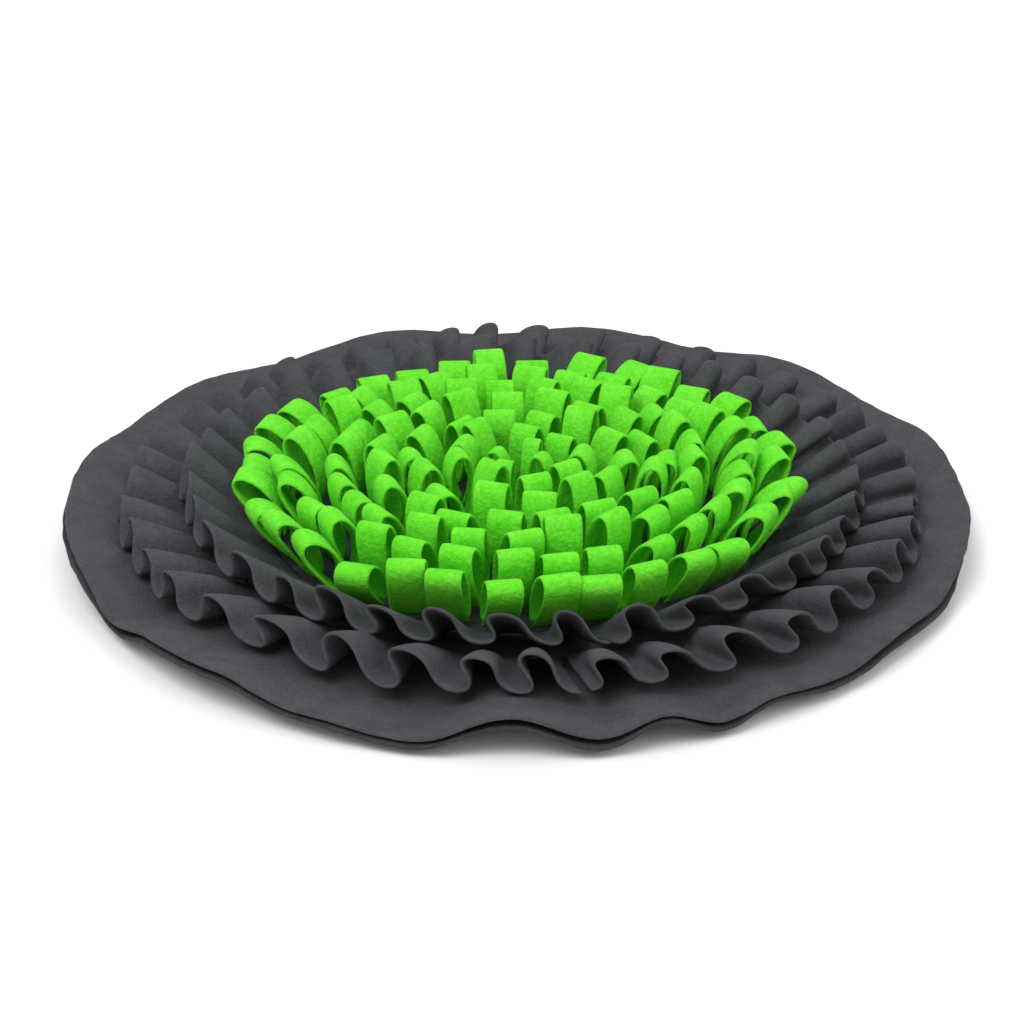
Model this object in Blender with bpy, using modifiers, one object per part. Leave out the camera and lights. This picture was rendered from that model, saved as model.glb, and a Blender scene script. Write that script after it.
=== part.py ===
"""Snuffle mat: two rounds of fleece, two gathered ruffles and six rings of green loops.

Metres, +Z up. The origin is on the floor, under the middle of the mat. Bearings are
measured counter-clockwise from +X, so the front of the mat is at -90 degrees.
"""

import math
import random

import bmesh
import bpy
from mathutils import Vector

MM = 0.001
SEED = 7

# Cloth
FLEECE = 2.0 * MM  # thickness of one sheet
GAP = 0.3 * MM  # between pieces that are sewn face to face

# The two rounds, as shares of their radius
FLAT_SHARE = 0.55  # flat on the floor inside this
RINGS = (0.55, 0.68, 0.85, 1.0)
RISE_POWER = 1.7  # how late the round turns up towards its rim
ROUND_SIDES = 48

# One row for each fold of the rim: its bearing in degrees, how high the upper round is
# there, its radius, and how far the lower round droops below it and shows past it, in mm.
RIM = (
    # bearing, lift, radius, droop, peep
    (-172, 19, 226, 2.5, 1.5),
    (-157, 17, 225, 1.0, 2.5),
    (-146, 9, 226, 4.0, -1.5),
    (-138, 14, 225, 1.5, 1.0),
    (-126, 15, 226, 2.0, 1.0),
    (-115, 8, 227, 1.0, 0.5),
    (-102, 4, 228, 1.0, 1.0),
    (-91, 17, 226, 3.0, -1.0),
    (-81, 6, 227, 2.5, 1.5),
    (-74, 13, 226, 1.0, 0.5),
    (-67, 5, 226, 2.0, 1.0),
    (-60, 9, 224, 1.0, -1.0),
    (-50, 6, 223, 1.5, 1.5),
    (-39, 10, 222, 3.0, 1.0),
    (-27, 7, 223, 1.0, 2.0),
    (-15, 16, 225, 4.0, -1.5),
    (0, 14, 226, 2.0, 1.5),
    (14, 19, 226, 3.0, 1.0),
    (30, 14, 225, 1.0, 1.5),
    (47, 20, 224, 4.0, -1.0),
    (62, 13, 225, 1.0, 1.5),
    (78, 18, 225, 2.5, 1.0),
    (94, 12, 226, 1.0, 1.5),
    (110, 19, 225, 4.0, -1.0),
    (127, 13, 224, 1.0, 1.5),
    (143, 18, 225, 2.5, 1.0),
    (158, 14, 226, 1.0, 1.5),
    (173, 20, 226, 3.0, 1.0),
)
LIFT, RADIUS, DROOP, PEEP = 1, 2, 3, 4

# Ruffles: one row for each line along the strip, from its seam to its free edge. Height is
# over the upper round, wave is half the depth of the folds, overhang how far their walls
# lean back over themselves and slant how far their crests are pushed round, both in folds.
OUTER_LINES = (
    # radius, height, wave, overhang, slant
    (152, 2.4, 0.0, 0.00, 0.00),
    (176, 9.0, 5.0, 0.03, -0.06),
    (199, 12.0, 8.0, 0.06, -0.13),
)
INNER_LINES = (
    (127, 2.4, 0.0, 0.00, 0.00),
    (149, 12.5, 4.2, 0.03, -0.06),
    (169, 23.0, 7.5, 0.06, -0.13),
)
OUTER_FOLDS = 42
INNER_FOLDS = 36
OUTER_ENDS = -83  # bearing at which the strip's two ends meet
INNER_ENDS = -77
END_OPENING = 0.15  # left between the two ends, in folds
FOLD_STEPS = (0.125, 0.375, 0.625, 0.875)  # foot, crest, crest and foot of one fold
WAVE_SPREAD = 0.15  # how uneven the folds are: depth and width, as shares
WIDTH_SPREAD = 0.12
EDGE_SPREAD = 3.0 * MM  # and the reach of the free edge
SLOW_LIFT = 14.0 * MM  # rim lift that the ruffles follow, without the rim's own folds

# Green loops: one row for each ring, sewn down along its middle line
LOOP_ROWS = (
    # radius, loops, height, lean
    (14, 3, 35, 2),
    (34, 8, 36, 4),
    (54, 12, 37, 7),
    (74, 16, 37, 13),
    (94, 21, 37, 30),
    (114, 25, 38, 56),
)
HEADING = 4.0 * MM  # height of the uncut edge that carries the loops
LOOP_WIDTH = 22.0 * MM  # along the ring
ROOM_SHARE = 0.90  # of the inner side's room that a loop may fill
BELLY = 5.5 * MM  # half the depth of a loop, from middle line to middle line
ROOT_LEAN = 0.35  # share of the lean that a loop already has where it leaves its heading
LOOP_LINE = ((0.95, 0.50), (0.60, 1.0), (-0.60, 1.0), (-0.95, 0.50))  # shares of belly, height
HEIGHT_SPREAD = 0.07
LEAN_SPREAD = 3.0  # degrees
TWIST_SPREAD = 3.0  # degrees


def clear_scene():
    for obj in list(bpy.data.objects):
        bpy.data.objects.remove(obj, do_unlink=True)


def fleece_material(name, colour):
    material = bpy.data.materials.new(name)
    material.use_nodes = True
    shader = material.node_tree.nodes["Principled BSDF"]
    shader.inputs["Base Color"].default_value = (*colour, 1.0)
    shader.inputs["Roughness"].default_value = 0.95
    shader.inputs["Metallic"].default_value = 0.0
    return material


def add_object(name, shape, collection, material):
    """Turns a bmesh into an object of its own, with its faces turned out."""
    bmesh.ops.recalc_face_normals(shape, faces=shape.faces)
    mesh = bpy.data.meshes.new(name)
    shape.to_mesh(mesh)
    shape.free()
    mesh.materials.append(material)
    mesh.shade_smooth()
    mesh.set_sharp_from_angle(angle=math.radians(50))
    obj = bpy.data.objects.new(name, mesh)
    collection.objects.link(obj)
    return obj


def at(radius, bearing, height):
    return Vector((radius * math.cos(bearing), radius * math.sin(bearing), height))


def rim_value(bearing, column):
    """Reads a column of RIM at any bearing, easing from one fold to the next."""
    degrees = math.degrees(bearing)
    for here, after in zip(RIM, RIM[1:] + RIM[:1]):
        span = (after[0] - here[0]) % 360
        along = (degrees - here[0]) % 360
        if along <= span:
            ease = (1 - math.cos(math.pi * along / span)) / 2
            return (here[column] + (after[column] - here[column]) * ease) * MM
    raise ValueError("RIM does not go all the way round")


def rise(share):
    """How far up the rim's lift a round has come, at this share of its radius."""
    return max(0.0, (share - FLAT_SHARE) / (1 - FLAT_SHARE)) ** RISE_POWER


def round_rows(underside, lower):
    """Rings of one face of a round, from the middle outwards."""
    rows = []
    for share in RINGS:
        row = []
        for side in range(ROUND_SIDES):
            bearing = math.tau * side / ROUND_SIDES
            lift = rim_value(bearing, LIFT)
            radius = rim_value(bearing, RADIUS)
            reach = share * radius
            if lower:
                lift -= rim_value(bearing, DROOP)
                reach += rim_value(bearing, PEEP) * (share == RINGS[-1])
            row.append(at(reach, bearing, underside + lift * rise(reach / radius)))
        rows.append(row)
    return rows


def make_round(name, underside, lower, collection, material):
    """A round of fleece: flat on the floor in the middle, its wavy rim turned up."""
    shape = bmesh.new()
    rims = []
    for height in (underside, underside + FLEECE):
        rings = [[shape.verts.new(point) for point in row] for row in round_rows(height, lower)]
        shape.faces.new(rings[0])
        for inner, outer in zip(rings, rings[1:]):
            for i in range(ROUND_SIDES):
                j = (i + 1) % ROUND_SIDES
                # The same diagonal in both rounds, so that they lie evenly on each other.
                shape.faces.new((inner[i], outer[i], outer[j]))
                shape.faces.new((inner[i], outer[j], inner[j]))
        rims.append(rings[-1])
    for i in range(ROUND_SIDES):
        j = (i + 1) % ROUND_SIDES
        shape.faces.new((rims[0][i], rims[0][j], rims[1][j], rims[1][i]))
    return add_object(name, shape, collection, material)


def fold_bearings(folds, ends, chance):
    """Bearings at which each fold begins, unevenly spaced, and the last one's end."""
    widths = [1 + chance.uniform(-WIDTH_SPREAD, WIDTH_SPREAD) for _ in range(folds)]
    scale = math.tau * (1 - END_OPENING / folds) / sum(widths)
    start = math.radians(ends) + math.pi * END_OPENING / folds
    bearings = [start]
    for width in widths:
        bearings.append(bearings[-1] + width * scale)
    return bearings


def ruffle_rows(lines, folds, ends, chance):
    """Middle surface of a gathered strip: one row of points for each line along it."""
    bearings = fold_bearings(folds, ends, chance)
    waves = [1 + chance.uniform(-WAVE_SPREAD, WAVE_SPREAD) for _ in range(folds)]
    edges = [chance.uniform(-EDGE_SPREAD, EDGE_SPREAD) for _ in range(folds)]
    outermost = lines[-1][0]
    rows = []
    for radius, height, wave, overhang, slant in lines:
        row = []
        for fold in range(folds):
            begin = bearings[fold]
            width = bearings[fold + 1] - begin
            for step in FOLD_STEPS:
                turn = math.tau * step
                along = step + overhang * math.sin(2 * turn) - slant * math.cos(turn)
                reach = radius * MM + edges[fold] * radius / outermost * min(1.0, wave)
                floor = 2 * FLEECE + GAP + SLOW_LIFT * rise(reach / (226 * MM))
                up = floor + (height - wave * waves[fold] * math.cos(turn)) * MM
                row.append(at(reach, begin + width * along, up))
        rows.append(row)
    return rows


def make_ruffle(name, lines, folds, ends, collection, material):
    """A gathered strip: flat along its seam, standing in folds along its free edge."""
    chance = random.Random(f"{SEED} {name}")
    shape = bmesh.new()
    rows = ruffle_rows(lines, folds, ends, chance)
    verts = [[shape.verts.new(point) for point in row] for row in rows]
    for inner, outer in zip(verts, verts[1:]):
        for i in range(len(inner) - 1):
            shape.faces.new((inner[i], outer[i], outer[i + 1], inner[i + 1]))
    obj = add_object(name, shape, collection, material)
    wall = obj.modifiers.new("Fleece", "SOLIDIFY")
    wall.thickness = FLEECE
    wall.offset = 0.0
    return obj


def bent(across, up, height, lean):
    """A point of an upright loop, moved as the loop's middle bends outward along an arc."""
    root = ROOT_LEAN * lean
    bend = (lean - root) / height
    angle = root + bend * up
    out = (math.cos(root) - math.cos(angle)) / bend
    rise_up = (math.sin(angle) - math.sin(root)) / bend
    return out + across * math.cos(angle), rise_up - across * math.sin(angle)


def loop_sections(height, belly, lean):
    """Skins of a loop past its roots: outer and inner point of the sheet at each station."""
    line = [(FLEECE / 2, 0.0)]
    line += [(belly * across, height * up) for across, up in LOOP_LINE]
    line += [(-FLEECE / 2, 0.0)]
    sections = []
    for before, here, after in zip(line, line[1:], line[2:]):
        run = Vector(after) - Vector(before)
        normal = Vector((run.y, -run.x)).normalized() * FLEECE / 2
        skins = (Vector(here) + normal, Vector(here) - normal)
        sections.append([bent(skin.x, skin.y, height, lean) for skin in skins])
    return sections


def comb_loop(shape, radius, bearing, width, floor, loop):
    """One loop and its piece of heading. Returns the heading's corners on each side."""
    height, belly, lean, twist = loop
    outward = at(1.0, bearing, 0.0)
    along = Vector((-outward.y, outward.x, 0.0))
    root = outward * radius

    def pair(out, up, turn=0.0):
        """The two edges of the sheet at one point of the section."""
        swing = along * math.cos(turn) + outward * math.sin(turn)
        middle = root + outward * out + Vector((0, 0, up))
        return [shape.verts.new(middle + swing * side * width / 2) for side in (-1, 1)]

    top = floor + HEADING
    corners = {
        "outer_low": pair(FLEECE, floor),
        "inner_low": pair(-FLEECE, floor),
        "outer_top": pair(FLEECE, top),
        "middle_top": pair(0.0, top),
        "inner_top": pair(-FLEECE, top),
    }
    stations = [(corners["outer_top"], corners["middle_top"])]
    for outer, inner in loop_sections(height, belly, lean):
        turn = twist * outer[1] / height
        stations.append((pair(outer[0], top + outer[1], turn), pair(inner[0], top + inner[1], turn)))
    stations.append((corners["inner_top"], corners["middle_top"]))
    for (outer, inner), (next_outer, next_inner) in zip(stations, stations[1:]):
        shape.faces.new((outer[0], outer[1], next_outer[1], next_outer[0]))
        if inner[0] is not next_inner[0]:
            shape.faces.new((inner[1], inner[0], next_inner[0], next_inner[1]))
        for side in (0, 1):
            shape.faces.new((outer[side], next_outer[side], next_inner[side], inner[side]))
    low, high = corners["outer_low"], corners["outer_top"]
    shape.faces.new((low[0], low[1], high[1], high[0]))
    low_in, high_in = corners["inner_low"], corners["inner_top"]
    shape.faces.new((low_in[0], high_in[0], high_in[1], low_in[1]))
    shape.faces.new((low[0], low_in[0], low_in[1], low[1]))
    return [{key: pair_[side] for key, pair_ in corners.items()} for side in (0, 1)]


def comb_heading(shape, here, after):
    """The uncut heading between one loop's side and the next loop's."""
    shape.faces.new((here["outer_low"], after["outer_low"], after["outer_top"], here["outer_top"]))
    shape.faces.new((here["inner_low"], here["inner_top"], after["inner_top"], after["inner_low"]))
    shape.faces.new((here["outer_low"], here["inner_low"], after["inner_low"], after["outer_low"]))
    order = ("outer_top", "middle_top", "inner_top")
    shape.faces.new([here[key] for key in order] + [after[key] for key in order[::-1]])


def make_loop_row(name, row, collection, material):
    """A ring of loops, cut from one folded strip and held together by its heading."""
    radius, loops, height, lean = row
    radius, height = radius * MM, height * MM
    chance = random.Random(f"{SEED} {name}")
    floor = 2 * FLEECE + 2 * GAP
    room = 2 * (radius - BELLY - FLEECE / 2) * math.tan(math.pi / loops)
    width = min(LOOP_WIDTH, ROOM_SHARE * room)
    shape = bmesh.new()
    sides = []
    for i in range(loops):
        loop = (
            height * (1 + chance.uniform(-HEIGHT_SPREAD, HEIGHT_SPREAD)),
            BELLY,
            math.radians(lean + chance.uniform(-LEAN_SPREAD, LEAN_SPREAD)),
            math.radians(chance.uniform(-TWIST_SPREAD, TWIST_SPREAD)),
        )
        sides.append(comb_loop(shape, radius, math.tau * i / loops, width, floor, loop))
    for (_, here), (after, _) in zip(sides, sides[1:] + sides[:1]):
        comb_heading(shape, here, after)
    return add_object(name, shape, collection, material)


def main():
    clear_scene()
    mat = bpy.data.collections.new("snuffle_mat")
    bpy.context.scene.collection.children.link(mat)
    charcoal = fleece_material("charcoal_fleece", (0.045, 0.047, 0.052))
    grey = fleece_material("grey_fleece", (0.07, 0.073, 0.08))
    green = fleece_material("green_fleece", (0.14, 0.62, 0.03))

    make_round("base_bottom", 0.0, True, mat, charcoal)
    make_round("base_top", FLEECE + GAP, False, mat, grey)
    make_ruffle("ruffle_outer", OUTER_LINES, OUTER_FOLDS, OUTER_ENDS, mat, grey)
    make_ruffle("ruffle_inner", INNER_LINES, INNER_FOLDS, INNER_ENDS, mat, grey)
    for number, row in enumerate(LOOP_ROWS, start=1):
        make_loop_row(f"loop_row_{number}", row, mat, green)


main()
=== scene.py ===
# %% [markdown]
# # A snuffle mat in Blender
#
# The real object is a foraging mat for a pet, sewn from fleece: two wavy rounds lie on each
# other, two gathered ruffles stand round them, and the middle is filled with rings of green
# loops. All of it is soft sheet, about 2 mm thick, so the whole lesson is about one question:
# how does a thin sheet look when it is gathered, slit, folded over and left to lean?
#
# The imported CAD model is the frame that everything is built in. The pieces below are made to
# its sizes, in metres.

import math
import random

import bmesh
import bpy
import numpy as np
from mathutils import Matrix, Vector


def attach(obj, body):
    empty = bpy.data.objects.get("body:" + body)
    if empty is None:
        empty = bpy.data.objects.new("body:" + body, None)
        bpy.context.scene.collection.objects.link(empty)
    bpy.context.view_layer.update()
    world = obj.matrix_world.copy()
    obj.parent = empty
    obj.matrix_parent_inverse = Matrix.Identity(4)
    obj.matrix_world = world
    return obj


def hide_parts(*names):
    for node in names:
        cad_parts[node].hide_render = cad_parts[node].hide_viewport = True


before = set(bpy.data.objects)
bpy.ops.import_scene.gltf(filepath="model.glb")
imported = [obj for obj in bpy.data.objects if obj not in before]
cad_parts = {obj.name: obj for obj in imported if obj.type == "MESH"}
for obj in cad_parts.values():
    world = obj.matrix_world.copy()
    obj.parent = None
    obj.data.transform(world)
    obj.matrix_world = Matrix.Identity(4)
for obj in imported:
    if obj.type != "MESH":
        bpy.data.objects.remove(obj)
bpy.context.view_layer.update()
MM = 0.001

# %% [markdown]
# ## Camera and studio
#
# The mat is seen from the front and a little above, with a long lens, on a white table under
# a soft studio light. The camera comes first because every later choice is judged through it.
# A Track To constraint would also aim it, but working out the rotation once keeps the scene
# free of anything live.

# %% Camera
CAMERA_RISE = math.radians(25.7)
CAMERA_DISTANCE = 1.2
CAMERA_LENS = 83.0
CAMERA_TARGET = Vector((-0.0033, 0.0, 0.0072))

camera_data = bpy.data.cameras.new("camera")
camera_data.lens = CAMERA_LENS
camera_data.sensor_width = 36.0
camera_data.dof.use_dof = False
camera = bpy.data.objects.new("camera", camera_data)
line_of_sight = Vector((0.0, -math.cos(CAMERA_RISE), math.sin(CAMERA_RISE)))
camera.location = CAMERA_TARGET + line_of_sight * CAMERA_DISTANCE
camera.rotation_euler = line_of_sight.to_track_quat("Z", "Y").to_euler()
bpy.context.scene.collection.objects.link(camera)
bpy.context.scene.camera = camera
print("camera at", [round(value, 3) for value in camera.location])

# %% Studio
bpy.context.scene.view_settings.view_transform = "Standard"


def add_softbox(name, place, size, power):
    """A square area light that faces the middle of the mat."""
    data = bpy.data.lights.new(name, "AREA")
    data.energy = power
    data.size = size
    lamp = bpy.data.objects.new(name, data)
    lamp.location = place
    lamp.rotation_euler = Vector(place).to_track_quat("Z", "Y").to_euler()
    bpy.context.scene.collection.objects.link(lamp)


add_softbox("key", (-0.7, -0.7, 1.6), 1.2, 18.0)
add_softbox("fill", (1.2, -0.6, 1.0), 1.0, 5.0)
add_softbox("back", (0.2, 1.3, 1.2), 1.2, 7.0)

world = bpy.data.worlds.new("studio")
world.use_nodes = True
world.node_tree.nodes["Background"].inputs["Color"].default_value = (1.0, 1.0, 1.0, 1.0)
world.node_tree.nodes["Background"].inputs["Strength"].default_value = 0.75
bpy.context.scene.world = world
print("studio lights", len(bpy.data.lights))

# %% Floor
FLOOR_SIZE = 12.0
FLOOR_GAP = 0.4 * MM  # keeps the floor off the mat's flat underside

bpy.ops.mesh.primitive_plane_add(size=FLOOR_SIZE, location=(0.0, 0.0, -FLOOR_GAP))
floor = bpy.context.object
floor.name = "floor"
floor_material = bpy.data.materials.new("floor_paper")
floor_material.use_nodes = True
floor_shader = floor_material.node_tree.nodes["Principled BSDF"]
floor_shader.inputs["Base Color"].default_value = (0.93, 0.93, 0.93, 1.0)
floor_shader.inputs["Roughness"].default_value = 0.9
floor.data.materials.append(floor_material)

# %% [markdown]
# ## Shader maths as Python
#
# A fleece material is mostly arithmetic on noise. Drawing that with nodes takes a page, so a
# small class wraps a socket and lets +, - and * add the Math nodes. Every other node comes
# from one method: its settings go in first, then its values or links.

# %% Shader helpers


class Wire:
    """A number or vector in a material's node tree, usable in ordinary expressions."""

    def __init__(self, recipe, socket):
        self.recipe = recipe
        self.socket = socket

    def _with(self, operation, first, second):
        return self.recipe.node("ShaderNodeMath", {"operation": operation}, {0: first, 1: second})

    def __add__(self, other):
        return self._with("ADD", self, other)

    def __radd__(self, other):
        return self._with("ADD", other, self)

    def __sub__(self, other):
        return self._with("SUBTRACT", self, other)

    def __rsub__(self, other):
        return self._with("SUBTRACT", other, self)

    def __mul__(self, other):
        return self._with("MULTIPLY", self, other)

    def clamped(self):
        return self.recipe.node("ShaderNodeClamp", {}, {"Value": self})


class Recipe:
    """One material: its node tree, its Principled shader and a way to add nodes."""

    def __init__(self, name):
        self.material = bpy.data.materials.new(name)
        self.material.use_nodes = True
        self.tree = self.material.node_tree
        self.shader = self.tree.nodes["Principled BSDF"]

    def node(self, kind, settings, values, output=0):
        """Adds a node: its settings first, then the values or links of its sockets."""
        made = self.tree.nodes.new(kind)
        for setting, value in settings.items():
            setattr(made, setting, value)
        for socket, value in values.items():
            self.put(made.inputs[socket], value)
        return Wire(self, made.outputs[output])

    def put(self, socket, value):
        """Links a wire to the socket, or sets a plain value on it."""
        if isinstance(value, Wire):
            self.tree.links.new(value.socket, socket)
        else:
            socket.default_value = value

    def finish(self, **values):
        for name, value in values.items():
            self.put(self.shader.inputs[name.replace("_", " ")], value)
        return self.material


# %% [markdown]
# ## Fleece
#
# Fleece is knitted and then brushed, so it has no weave to see. What shows is a short nap
# that mottles the colour, small pebbles where the fibres have balled up, and a soft halo
# towards grazing angles. The nap and the pebbles are noise in object space, in metres, so
# their size is the same on every piece. The halo is the shader's own sheen.

# %% Fleece material
NAP_SIZE = 1.1 * MM  # tufts of fibre
PEBBLE_SIZE = 2.6 * MM  # where they ball up
BLOTCH_SIZE = 14.0 * MM  # brushed patches
BUMP_DEPTH = 1.1 * MM
MIX_FIRST, MIX_SECOND, MIX_RESULT = 6, 7, 2  # the Mix node's colour sockets


def fleece(name, dark, light, pebbles, sheen):
    """A brushed knit between two colours. pebbles is how much it has balled up, from 0 to 1."""
    recipe = Recipe(name)
    place = recipe.node("ShaderNodeTexCoord", {}, {}, "Object")

    def noise(size, detail):
        values = {"Vector": place, "Scale": 1.0 / size, "Detail": detail, "Roughness": 0.6}
        return recipe.node("ShaderNodeTexNoise", {}, values, "Fac")

    nap = noise(NAP_SIZE, 3.0)
    blotch = noise(BLOTCH_SIZE, 2.0)
    cells = recipe.node(
        "ShaderNodeTexVoronoi",
        {"feature": "SMOOTH_F1"},
        {"Vector": place, "Scale": 1.0 / PEBBLE_SIZE, "Smoothness": 0.7, "Randomness": 1.0},
        "Distance",
    )
    pebble = 1.0 - cells
    tone = (nap - 0.5) * 1.1 + (blotch - 0.5) * 0.9 + (pebble - 0.6) * (pebbles * 0.9) + 0.5
    colour = recipe.node(
        "ShaderNodeMix",
        {"data_type": "RGBA"},
        {"Factor": tone.clamped(), MIX_FIRST: (*dark, 1.0), MIX_SECOND: (*light, 1.0)},
        MIX_RESULT,
    )
    height = nap * (1.0 - 0.5 * pebbles) + pebble * pebbles
    normal = recipe.node(
        "ShaderNodeBump", {}, {"Strength": 0.8, "Distance": BUMP_DEPTH, "Height": height}
    )
    rough = 0.88 + nap * 0.12
    recipe.finish(Base_Color=colour, Roughness=rough, Normal=normal)
    recipe.finish(Sheen_Weight=sheen, Sheen_Roughness=0.45, Specular_IOR_Level=0.15)
    tint = [min(1.0, channel * 1.6) for channel in light]
    return recipe.finish(Sheen_Tint=(*tint, 1.0))


grey_fleece = fleece("grey_fleece", (0.040, 0.041, 0.045), (0.086, 0.088, 0.096), 0.3, 0.10)
# Painted shade: the lower round's fleece is the grey fleece made darker, for the shade that falls
# on it under the upper round.
charcoal_fleece = fleece(
    "charcoal_fleece", (0.026, 0.027, 0.029), (0.058, 0.059, 0.064), 0.3, 0.08
)
green_fleece = fleece("green_fleece", (0.075, 0.54, 0.012), (0.20, 0.83, 0.045), 0.55, 0.12)
print("fleeces made")

# %% [markdown]
# ## Sheets from grids
#
# Every piece starts as a grid of points on the middle of the sheet. Solidify gives it the
# cloth's thickness, and one Subdivision Surface level rounds the cut edges the way a brushed
# edge rounds itself. The rounds have hundreds of edges meeting at their centres, which
# subdivision is very slow on, so their cut edges get a Bevel instead. The modifiers are
# applied, so a piece ends as one plain mesh.

# %% Sheet helpers
FLEECE = 2.0 * MM  # thickness of every sheet
GAP = 0.3 * MM  # between sheets that lie on each other


def grid_faces(rows, columns, first=0, closed_round=False):
    """Quads between rows of points. A closed row's last point meets its first."""
    index = first + np.arange(rows * columns).reshape(rows, columns)
    if closed_round:
        index = np.concatenate([index, index[:, :1]], axis=1)
    quads = np.stack([index[:-1, :-1], index[1:, :-1], index[1:, 1:], index[:-1, 1:]], axis=-1)
    return quads.reshape(-1, 4).tolist()


def grid_mesh(name, points, closed_round):
    mesh = bpy.data.meshes.new(name)
    faces = grid_faces(*points.shape[:2], closed_round=closed_round)
    mesh.from_pydata(points.reshape(-1, 3).tolist(), [], faces)
    return mesh


def show(name, mesh, material):
    """Puts a mesh in the scene in one material."""
    obj = bpy.data.objects.new(name, mesh)
    bpy.context.scene.collection.objects.link(obj)
    mesh.materials.clear()
    mesh.materials.append(material)
    return obj


def apply_modifiers(obj):
    """Swaps the object's mesh for the evaluated one and clears its modifiers."""
    bpy.context.view_layer.update()
    graph = bpy.context.evaluated_depsgraph_get()
    result = bpy.data.meshes.new_from_object(obj.evaluated_get(graph))
    result.name = obj.name
    obj.modifiers.clear()
    obj.data = result
    result.shade_smooth()
    return obj


def thicken(obj, thickness, levels=1):
    """Cloth thickness on both sides of the grid, with softly rounded edges."""
    wall = obj.modifiers.new("thickness", "SOLIDIFY")
    wall.thickness = thickness
    wall.offset = 0.0
    if levels:
        soften = obj.modifiers.new("soften", "SUBSURF")
        soften.levels = soften.render_levels = levels
    else:
        edge = obj.modifiers.new("edge", "BEVEL")
        edge.width = thickness * 0.3
        edge.segments = 2
        edge.angle_limit = math.radians(60)
    return apply_modifiers(obj)


def triangles(obj):
    obj.data.calc_loop_triangles()
    return len(obj.data.loop_triangles)


def line_length(points):
    return float(np.linalg.norm(np.diff(points, axis=0), axis=1).sum())


# %% [markdown]
# ## The two rounds
#
# Two rounds of fleece lie on each other. They are flat on the floor in the middle, and the
# ruffles' seams pull the cloth in, so the free rim has more length than it needs and turns
# up in uneven folds. A table holds one row for each fold: its bearing, how high the upper
# round is there, its radius, and how far the lower round droops and peeps out.

# %% Rim table
RIM = (
    # bearing, lift, radius, droop, peep
    (-172, 19, 226, 2.5, 1.5),
    (-157, 17, 225, 1.0, 2.5),
    (-146, 9, 226, 4.0, -1.5),
    (-138, 14, 225, 1.5, 1.0),
    (-126, 15, 226, 2.0, 1.0),
    (-115, 8, 227, 1.0, 0.5),
    (-102, 4, 228, 1.0, 1.0),
    (-91, 17, 226, 3.0, -1.0),
    (-81, 6, 227, 2.5, 1.5),
    (-74, 13, 226, 1.0, 0.5),
    (-67, 5, 226, 2.0, 1.0),
    (-60, 9, 224, 1.0, -1.0),
    (-50, 6, 223, 1.5, 1.5),
    (-39, 10, 222, 3.0, 1.0),
    (-27, 7, 223, 1.0, 2.0),
    (-15, 16, 225, 4.0, -1.5),
    (0, 14, 226, 2.0, 1.5),
    (14, 19, 226, 3.0, 1.0),
    (30, 14, 225, 1.0, 1.5),
    (47, 20, 224, 4.0, -1.0),
    (62, 13, 225, 1.0, 1.5),
    (78, 18, 225, 2.5, 1.0),
    (94, 12, 226, 1.0, 1.5),
    (110, 19, 225, 4.0, -1.0),
    (127, 13, 224, 1.0, 1.5),
    (143, 18, 225, 2.5, 1.0),
    (158, 14, 226, 1.0, 1.5),
    (173, 20, 226, 3.0, 1.0),
)
LIFT, RADIUS, DROOP, PEEP = 1, 2, 3, 4
FLAT_SHARE = 0.55  # of the radius, flat on the floor
RISE_POWER = 1.7
print("rim folds", len(RIM))


def rim_values(bearings, column):
    """A column of RIM at an array of bearings in radians, eased between its rows."""
    degrees = np.degrees(bearings) % 360
    starts = np.array([row[0] % 360 for row in RIM], float)
    order = np.argsort(starts)
    starts = starts[order]
    values = np.array([row[column] for row in RIM], float)[order]
    starts = np.concatenate([starts, starts[:1] + 360])
    values = np.concatenate([values, values[:1]])
    degrees = np.where(degrees < starts[0], degrees + 360, degrees)
    place = np.searchsorted(starts, degrees, side="right") - 1
    place = np.clip(place, 0, len(starts) - 2)
    share = (degrees - starts[place]) / (starts[place + 1] - starts[place])
    ease = (1 - np.cos(np.pi * share)) / 2
    return (values[place] + (values[place + 1] - values[place]) * ease) * MM


def rise(share):
    """How much of the rim's lift the cloth has, at a share of the radius."""
    return np.maximum(0.0, (share - FLAT_SHARE) / (1 - FLAT_SHARE)) ** RISE_POWER


# %% The rounds
ROUND_SIDES = 300
ROUND_RINGS = np.concatenate([[0.0, 0.2, 0.4], np.linspace(FLAT_SHARE, 1.0, 30)])
RIM_BAND = 0.15  # share of the radius in which the two rounds part
RAGGED_EDGE = 0.25 * MM


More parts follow.
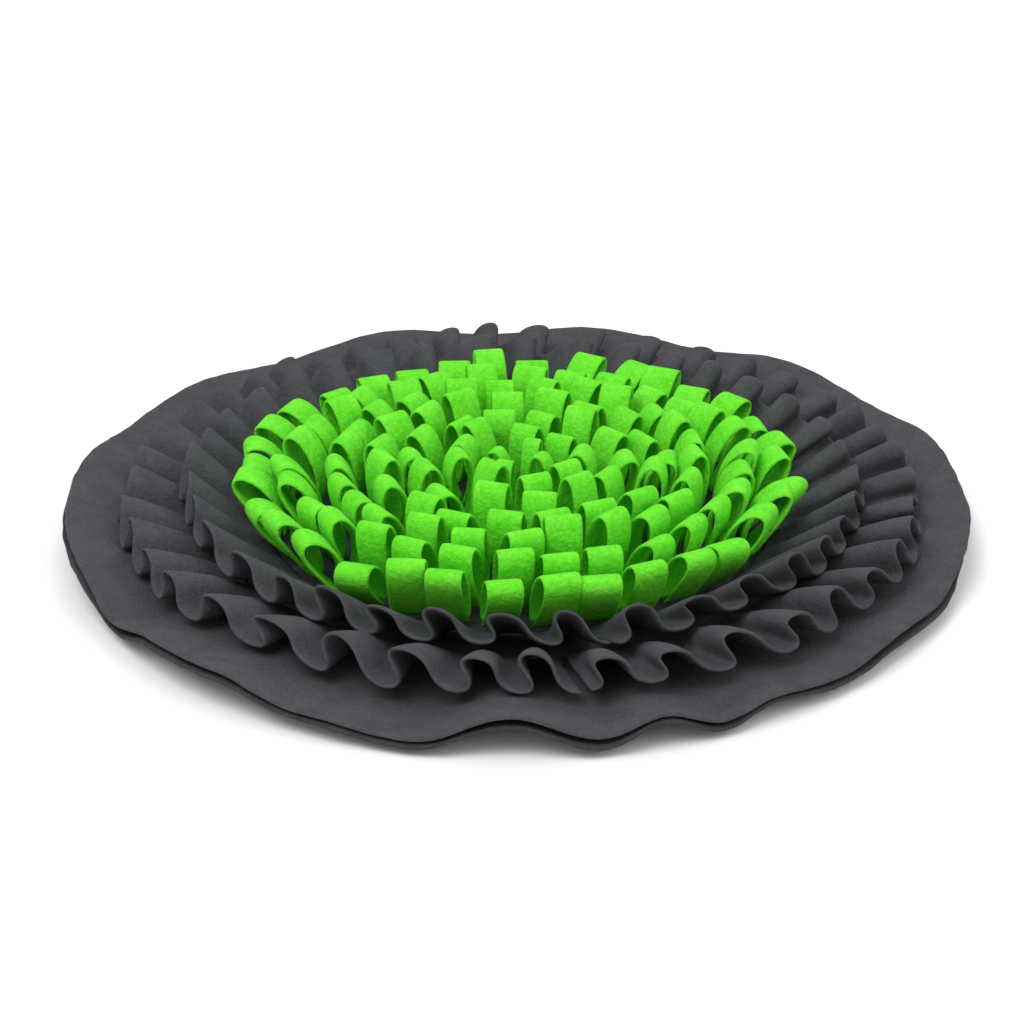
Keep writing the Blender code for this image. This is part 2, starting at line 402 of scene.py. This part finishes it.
def make_round(name, underside, lower, material, chance):
    """One round of cloth, flat inside and wavy at its rim."""
    bearings = np.linspace(0, math.tau, ROUND_SIDES, endpoint=False)
    lift = rim_values(bearings, LIFT)
    radius = rim_values(bearings, RADIUS)
    reach = radius.copy()
    if lower:
        lift = lift - rim_values(bearings, DROOP)
        reach = reach + rim_values(bearings, PEEP)
    ragged = np.array([chance.uniform(-1, 1) for _ in bearings])
    ragged = (ragged + np.roll(ragged, 1)) * RAGGED_EDGE
    rows = []
    for share in ROUND_RINGS:
        near_rim = max(0.0, (share - (1 - RIM_BAND)) / RIM_BAND)
        out = share * (radius + (reach - radius) * near_rim) + ragged * near_rim**4
        up = underside + FLEECE / 2 + lift * rise(out / radius)
        rows.append(np.stack([out * np.cos(bearings), out * np.sin(bearings), up], axis=-1))
    grid = np.array(rows)
    mesh = grid_mesh(name, grid[1:], closed_round=True)
    shape = bmesh.new()
    shape.from_mesh(mesh)
    inner_ring = list(shape.verts)[:ROUND_SIDES]
    centre = shape.verts.new(grid[0][0].tolist())
    for side in range(ROUND_SIDES):
        shape.faces.new((centre, inner_ring[side], inner_ring[(side + 1) % ROUND_SIDES]))
    bmesh.ops.recalc_face_normals(shape, faces=shape.faces)
    shape.to_mesh(mesh)
    shape.free()
    return thicken(show(name, mesh, material), FLEECE, levels=0)


chance = random.Random(3)
# The lower round takes the darkened grey fleece, painted shade under the upper round.
lower_round = make_round("fleece_round_lower", 0.0, True, charcoal_fleece, chance)
upper_round = make_round("fleece_round_upper", FLEECE + GAP, False, grey_fleece, chance)
print("rounds", triangles(lower_round), triangles(upper_round))

# %% [markdown]
# ## The ruffles
#
# A ruffle is a long straight strip, gathered along one edge. Along its free edge the extra
# length has to go somewhere, so it swings up and down and, because it has more length than
# height, it also leans back over itself into an S. Two waves make that curve: one up and down
# once per fold, and one along the edge twice per fold, which steepens the walls until they
# overhang. A third pushes the crests round to one side, so the folds lie down like dominoes.
# The tight gathers in the seam itself aren't modelled.

# %% Ruffle curve
END_OPENING = 0.15  # of a fold, left open where the strip's ends meet
WIDTH_SPREAD, DEPTH_SPREAD, LEAN_SPREAD, HOOK_SPREAD = 0.25, 0.25, 0.35, 0.4
REACH_SPREAD = 3.0  # mm
CREST_TUCK = 0.28  # how far a crest is drawn in for each mm that it rises
ROUND_RADIUS = 226 * MM
SLOW_LIFT = 14 * MM  # of the upper round under the ruffles, its folds evened out


def smooth_between(values, place):
    """Per-fold values read at any place along the strip, eased from fold to fold."""
    values = np.asarray(values)
    last = len(values) - 1
    position = np.clip(place - 0.5, 0, last)
    low = np.minimum(position.astype(int), last - 1)
    share = position - low
    ease = (1 - np.cos(np.pi * share)) / 2
    return values[low] * (1 - ease) + values[low + 1] * ease


def strip_grid(lines, folds, ends, chance, columns, rows):
    """The middle surface of a gathered strip, from its seam to its free edge."""

    def spread(amount):
        return [1 + chance.uniform(-amount, amount) for _ in range(folds)]

    widths, depths = spread(WIDTH_SPREAD), spread(DEPTH_SPREAD)
    leans, hooks = spread(LEAN_SPREAD), spread(HOOK_SPREAD)
    reaches = [chance.uniform(-REACH_SPREAD, REACH_SPREAD) for _ in range(folds)]
    starts = np.concatenate([[0.0], np.cumsum(widths)])
    turn_per_fold = math.tau * (1 - END_OPENING / folds) / starts[-1]
    starts = math.radians(ends) + math.pi * END_OPENING / folds + starts * turn_per_fold
    place = np.linspace(0, folds, folds * columns + 1)
    phase = math.tau * (place % 1.0)
    phase[-1] = math.tau
    depth = smooth_between(depths, place)
    lean = smooth_between(leans, place)
    hook = smooth_between(hooks, place)
    reach_more = smooth_between(reaches, place)
    table = np.array(lines, float)
    knots = np.linspace(0, 1, len(table))
    grid = []
    for v in np.linspace(0, 1, rows):
        radius, height, wave, overhang, slant = [
            np.interp(v, knots, table[:, column]) for column in range(5)
        ]
        along = place + overhang * hook * np.sin(2 * phase) - slant * lean * np.cos(phase)
        bearing = np.interp(along, np.arange(folds + 1), starts)
        bearing += np.minimum(along, 0) * turn_per_fold
        bearing += np.maximum(along - folds, 0) * turn_per_fold
        up = -wave * depth * np.cos(phase)
        reach = (radius + reach_more * v - CREST_TUCK * up * v) * MM
        floor_height = 2 * FLEECE + GAP + SLOW_LIFT * rise(reach / ROUND_RADIUS)
        z = floor_height + (height + up) * MM
        grid.append(np.stack([reach * np.cos(bearing), reach * np.sin(bearing), z], axis=-1))
    return np.array(grid)


# %% Make the ruffles
OUTER_LINES = (
    # radius, height, wave, overhang, slant
    (152, 2.4, 0.6, 0.00, 0.00),
    (164, 6.0, 3.6, 0.03, -0.04),
    (176, 9.2, 5.6, 0.05, -0.08),
    (188, 11.0, 7.2, 0.08, -0.12),
    (199, 12.0, 8.2, 0.10, -0.16),
)
INNER_LINES = (
    (127, 2.4, 0.6, 0.00, 0.00),
    (138, 7.5, 3.0, 0.03, -0.04),
    (149, 13.0, 5.0, 0.05, -0.08),
    (160, 18.5, 6.6, 0.08, -0.12),
    (169, 23.0, 7.6, 0.10, -0.16),
)
FOLD_COLUMNS = 14
FOLD_ROWS = 13


def make_ruffle(name, lines, folds, ends, seed):
    """A ruffle and the size of its strip, measured along the strip's middle line."""
    chance = random.Random(seed)
    grid = strip_grid(lines, folds, ends, chance, FOLD_COLUMNS, FOLD_ROWS)
    cut = line_length(grid[FOLD_ROWS // 2]), line_length(grid[:, 0])
    mesh = grid_mesh(name, grid, closed_round=False)
    return thicken(show(name, mesh, grey_fleece), FLEECE), cut


outer_ruffle, outer_cut = make_ruffle("outer_ruffle", OUTER_LINES, 42, -83, 11)
inner_ruffle, inner_cut = make_ruffle("inner_ruffle", INNER_LINES, 36, -77, 12)
print("ruffles", triangles(outer_ruffle), triangles(inner_ruffle))
print("strips along their middle lines", outer_cut, inner_cut)

# %% [markdown]
# ## The green loops
#
# Each ring is one strip, folded in half and slit from the fold into loops. Left alone they
# would stand in ranks, but on the real mat they push each other about: each leans and turns
# its own way, and the outer rings are pushed outwards. Each loop is therefore placed with its
# own lean, turn, height and width, drawn from a seeded random source. Nothing stops one loop
# from passing through the next, and a few do. The uncut heading below them isn't modelled.

# %% Loop rings
RINGS = (
    # radius, loops, height, lean in degrees, row of the CAD model
    (13, 4, 34, 3, 1),
    (31, 9, 36, 6, 2),
    (49, 14, 36, 9, 3),
    (67, 19, 36, 14, 4),
    (85, 25, 36, 22, 5),
    (103, 30, 36, 34, 6),
    (119, 34, 36, 52, 6),
)
ROOT_HEIGHT = 2 * FLEECE + 2 * GAP + 3.0 * MM
SECTION_POINTS = 25
WIDTH_POINTS = 6
FINE_POINTS = 400  # to walk along a loop before its points are spaced out evenly
ROOT_LEAN = 0.35  # share of the lean that a loop has at its root
ROOT_PINCH = 1.2 * MM  # half the distance between its two ends


def loop_section(height, belly, lean):
    """One loop seen from its open end: points along the folded strip, evenly spaced."""
    t = np.linspace(0, 1, FINE_POINTS)
    across = -belly * np.cos(np.pi * t) * np.sin(np.pi * t) ** 0.6
    across += -ROOT_PINCH * np.cos(np.pi * t) * (1 - np.sin(np.pi * t))
    up = height * np.sin(np.pi * t)
    root = ROOT_LEAN * lean
    bend = (lean - root) / height
    angle = root + bend * up
    if abs(bend) > 1e-6:
        out = (np.cos(root) - np.cos(angle)) / bend + across * np.cos(angle)
        z = (np.sin(angle) - np.sin(root)) / bend - across * np.sin(angle)
    else:
        out, z = across, up
    points = np.stack([out, z], axis=-1)
    steps = np.concatenate([[0], np.cumsum(np.linalg.norm(np.diff(points, axis=0), axis=1))])
    even = np.linspace(0, steps[-1], SECTION_POINTS)
    return np.stack([np.interp(even, steps, points[:, axis]) for axis in (0, 1)], axis=-1)


# %% Loop field
LOOP_WIDTH = 21.0  # mm
ROOM_SHARE = 0.92
LEAN_CHANCE, TURN_CHANCE = 14, 22  # degrees either way


def loop_field(chance):
    """Every loop's grid of points and its row of the CAD model, in one list."""
    loops = []
    for radius, count, height, lean, row in RINGS:
        shift = chance.uniform(0, math.tau)
        room = math.tau * (radius - 6.5) / count
        for i in range(count):
            bearing = shift + math.tau * (i + chance.uniform(-0.06, 0.06)) / count
            width = min(LOOP_WIDTH, room * ROOM_SHARE) * chance.uniform(0.86, 1.0) * MM
            tall = height * chance.uniform(0.88, 1.1) * MM
            belly = chance.uniform(9.0, 11.0) * MM
            tilt = math.radians(lean + chance.uniform(-LEAN_CHANCE, LEAN_CHANCE))
            twist = math.radians(chance.uniform(-TURN_CHANCE, TURN_CHANCE))
            section = loop_section(tall, belly, tilt)
            outward = np.array([math.cos(bearing), math.sin(bearing), 0.0])
            facing = bearing + twist
            forward = np.array([math.cos(facing), math.sin(facing), 0.0])
            along = np.array([-forward[1], forward[0], 0.0])
            sides = np.linspace(-0.5, 0.5, WIDTH_POINTS) * width
            base = outward * radius * MM + np.array([0, 0, ROOT_HEIGHT])
            grid = (
                base
                + section[:, None, :1] * forward
                + section[:, None, 1:] * np.array([0.0, 0.0, 1.0])
                + sides[None, :, None] * along
            )
            loops.append((grid, row))
    return loops


loops = loop_field(random.Random(21))
for row in range(1, 7):
    mine = [grid for grid, its_row in loops if its_row == row]
    length = sum(float(np.linalg.norm(grid[0, -1] - grid[0, 0])) for grid in mine)

# %% Loops to cloth


def row_piece(name, loops, row):
    """All the loops of one row, joined and given their thickness."""
    points, faces = [], []
    for grid, its_row in loops:
        if its_row != row:
            continue
        faces.extend(grid_faces(*grid.shape[:2], first=len(points)))
        points.extend(grid.reshape(-1, 3).tolist())
    mesh = bpy.data.meshes.new(name)
    mesh.from_pydata(points, [], faces)
    return thicken(show(name, mesh, green_fleece), FLEECE)


row_pieces = {row: row_piece(f"green_loops_{row}", loops, row) for row in range(1, 7)}
print("loop rows", {row: triangles(piece) for row, piece in row_pieces.items()})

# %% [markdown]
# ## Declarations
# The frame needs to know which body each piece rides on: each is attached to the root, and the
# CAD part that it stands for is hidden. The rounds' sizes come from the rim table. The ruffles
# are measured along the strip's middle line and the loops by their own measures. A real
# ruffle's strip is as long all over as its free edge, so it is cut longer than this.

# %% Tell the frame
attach(lower_round, "root")
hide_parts("base_bottom")
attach(upper_round, "root")
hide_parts("base_top")
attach(outer_ruffle, "root")
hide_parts("ruffle_outer")
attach(inner_ruffle, "root")
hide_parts("ruffle_inner")
for row, piece in row_pieces.items():
    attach(piece, "root")
    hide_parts(f"loop_row_{row}")
